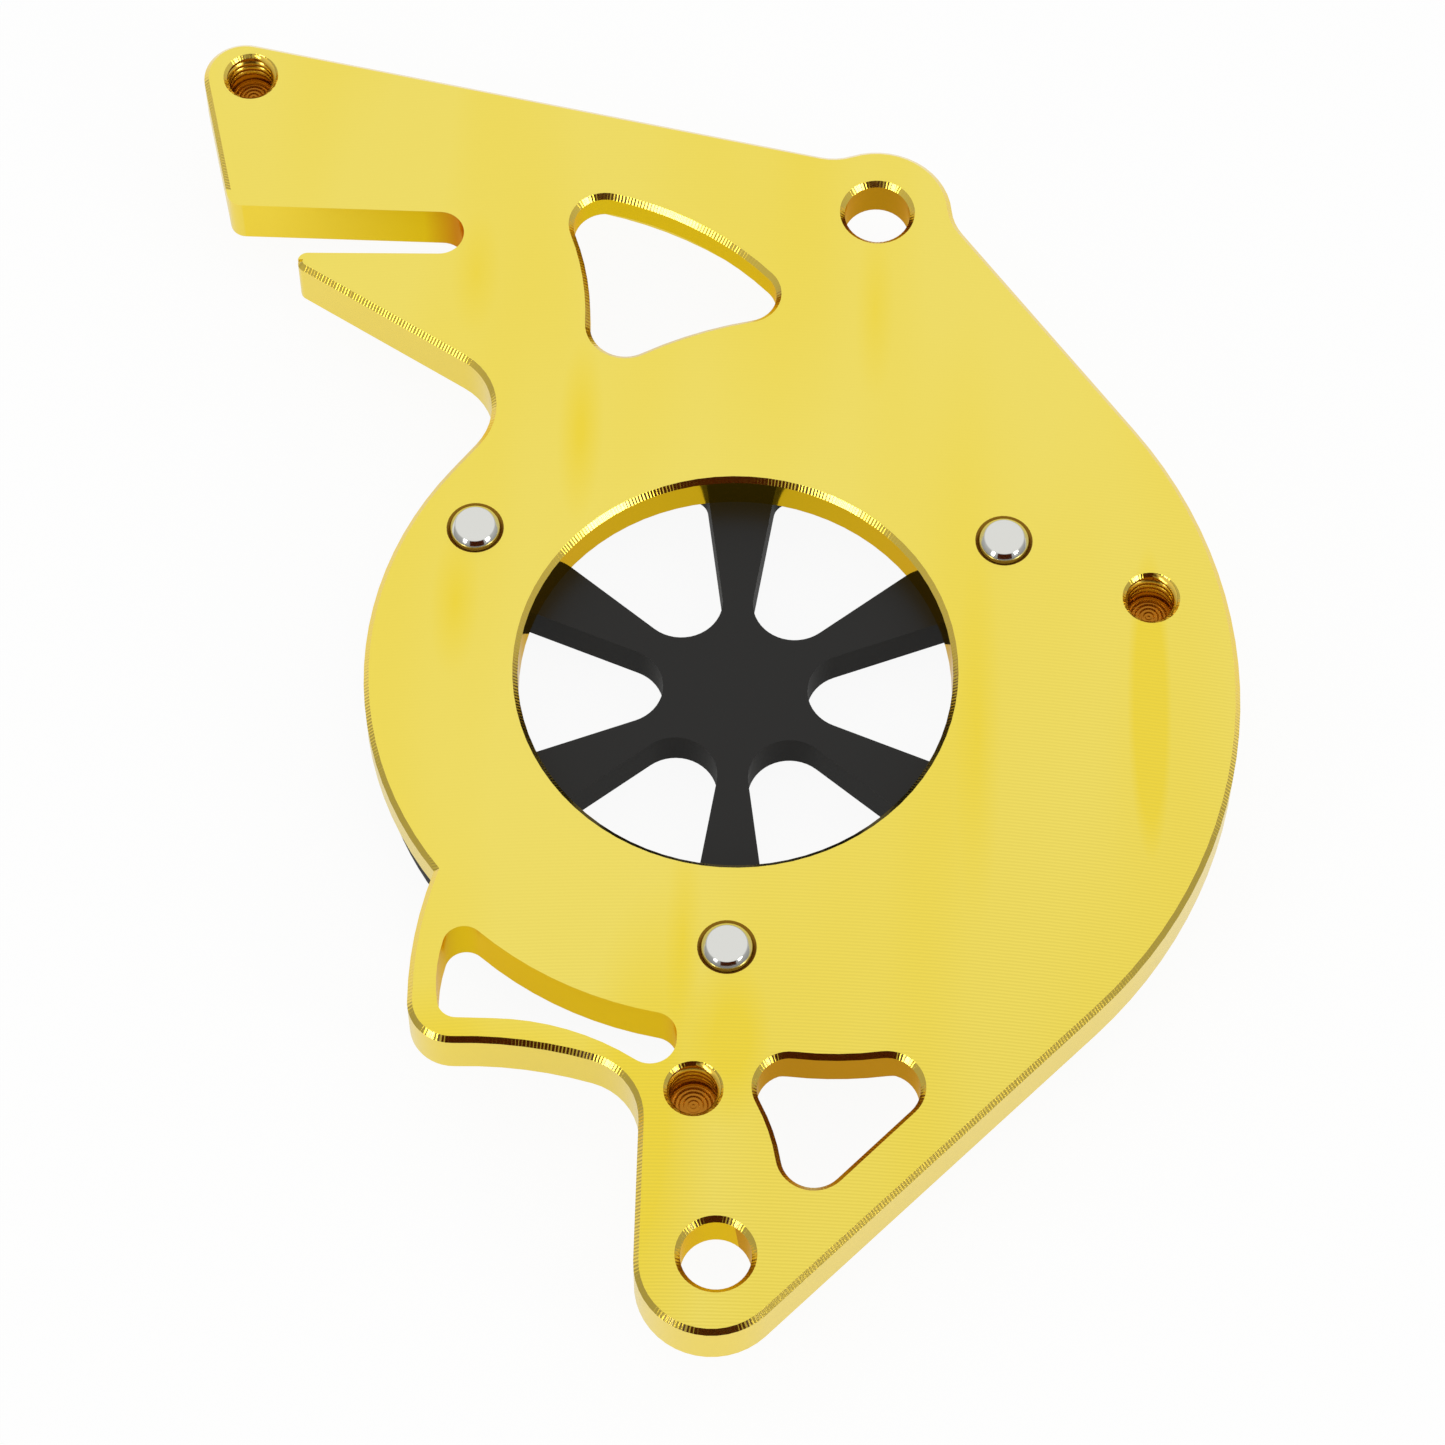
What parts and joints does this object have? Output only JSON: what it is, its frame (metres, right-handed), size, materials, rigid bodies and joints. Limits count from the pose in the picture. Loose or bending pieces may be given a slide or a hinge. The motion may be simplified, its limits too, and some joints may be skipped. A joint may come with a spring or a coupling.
{
  "type": "motorcycle sprocket cover",
  "caption": "Flat milled plate with a large round sprocket opening, backed by a black spoked disc that screws onto its outer side.",
  "frame": {"origin": "centre of the sprocket opening, in the joint plane between the plate and the disc", "axes": "+Z along the sprocket axis towards the plate's machined back (the engine side), +Y towards the finger and the upper mounting hole, +X across the plate"},
  "size_m": [0.1272, 0.1705, 0.0153],
  "materials": {
    "back_plate": "gold anodised, milled",
    "front_disc": "black anodised, satin",
    "screw_left": "bright steel",
    "screw_right": "bright steel",
    "screw_bottom": "bright steel"
  },
  "bodies": {
    "root": {"back_plate": "back_plate", "front_disc": "front_disc", "screw_left": "screw_left", "screw_right": "screw_right", "screw_bottom": "screw_bottom"}
  },
  "joints": []
}
